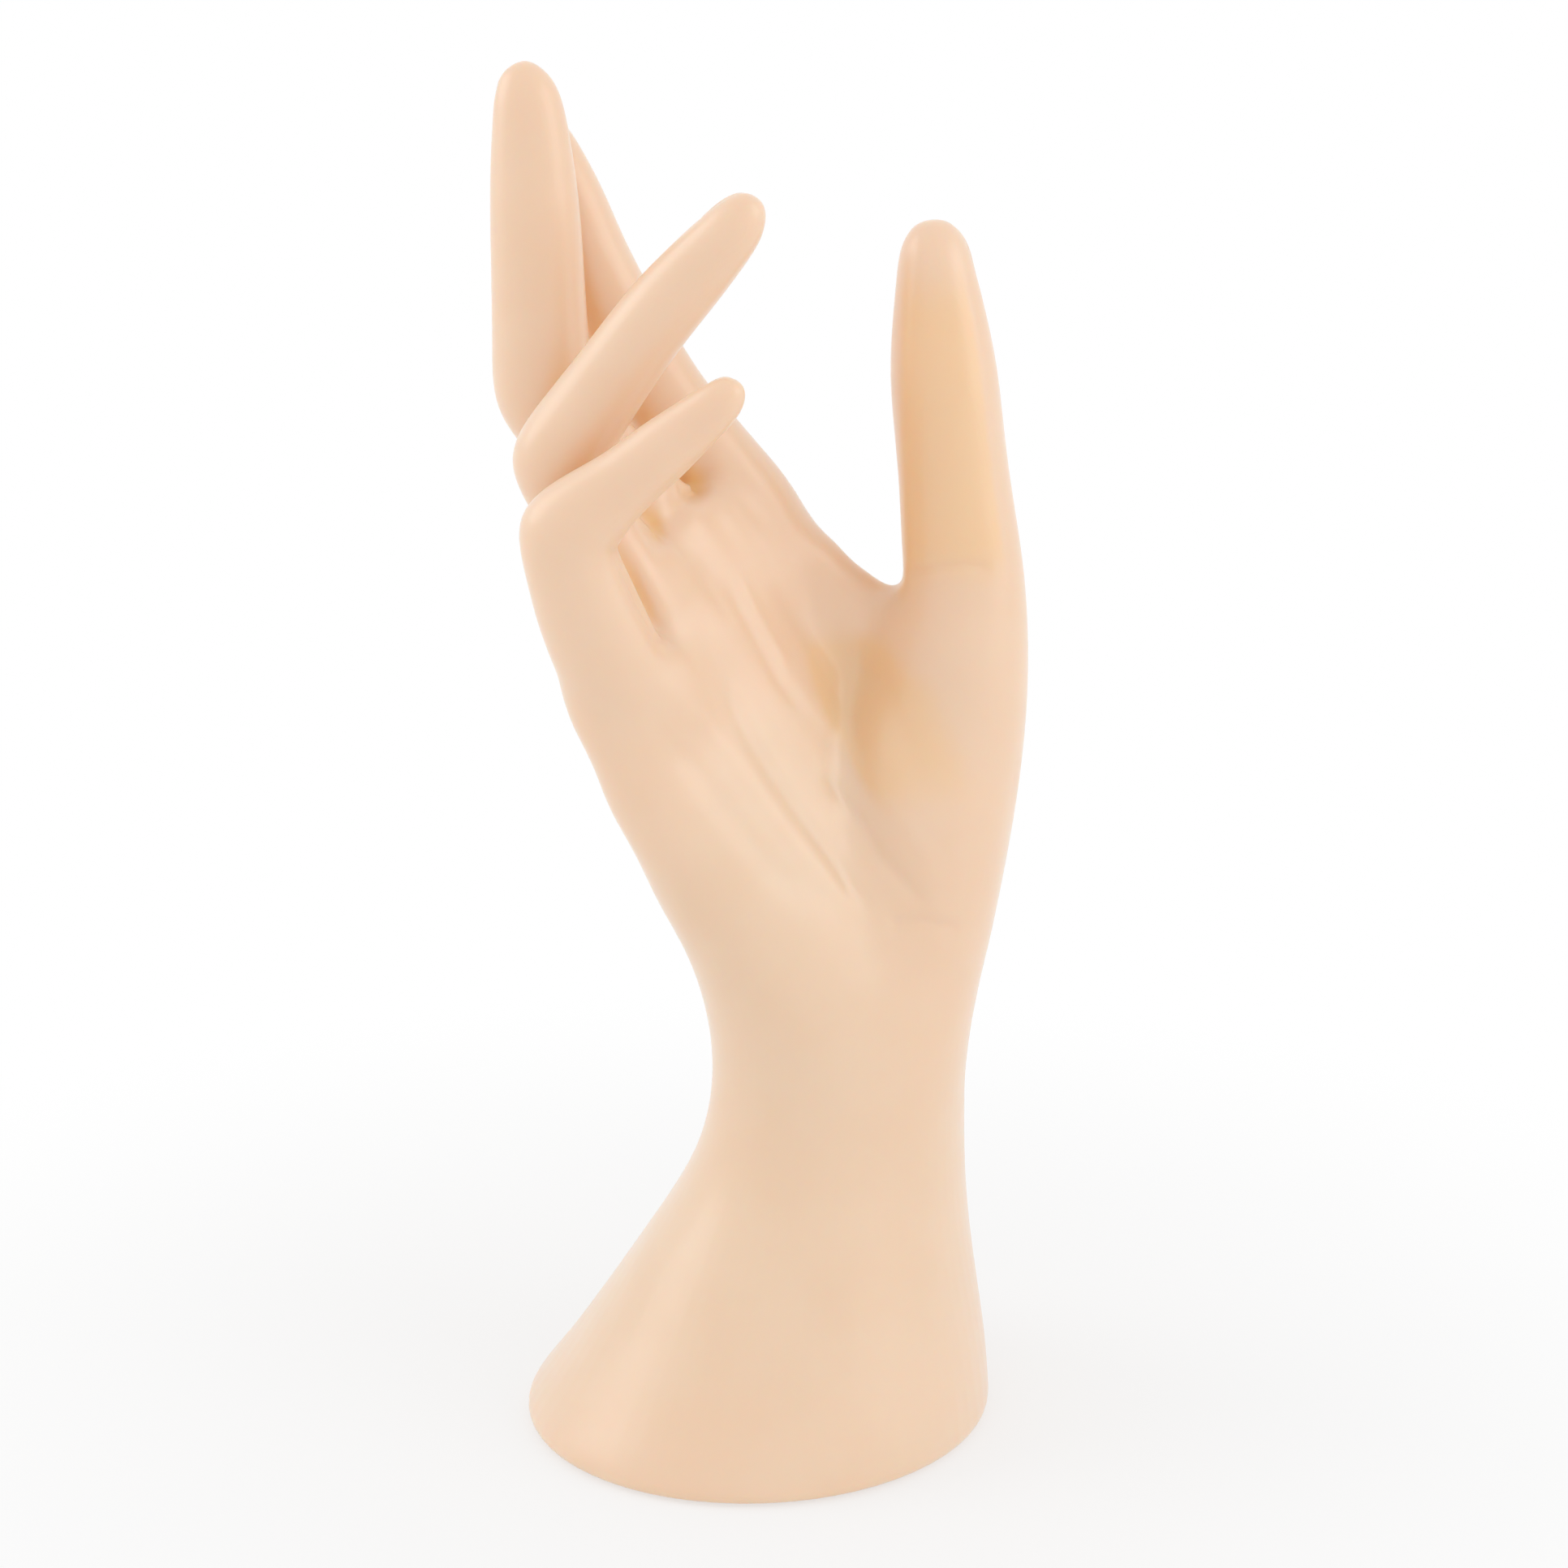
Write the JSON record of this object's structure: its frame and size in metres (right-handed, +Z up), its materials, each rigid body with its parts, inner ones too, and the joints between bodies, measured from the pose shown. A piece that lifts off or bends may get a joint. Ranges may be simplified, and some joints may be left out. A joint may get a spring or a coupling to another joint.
{
  "type": "display hand",
  "caption": "Life-size right display hand with raised fingers and a flared wrist that stands on a closed, weighted foot.",
  "frame": {"origin": "middle of the foot pad's underside, where the hand stands", "axes": "+Z up along the wrist and fingers, +X to the thumb's side, -Y to the little finger's side, which faces the viewer"},
  "size_m": [0.0979, 0.09, 0.2552],
  "materials": {
    "skin": "satin flesh-coloured soft plastic, moulded in one piece",
    "plate": "matt flesh-coloured hard plastic",
    "ballast": "rough cast, lightly oiled",
    "screws": "zinc plated",
    "pad": "matt closed-cell foam rubber"
  },
  "bodies": {
    "root": {"hand_shell": "skin", "base_plate": "plate", "ballast_weight": "ballast", "ballast_screws": "screws", "foot_pad": "pad"}
  },
  "joints": []
}
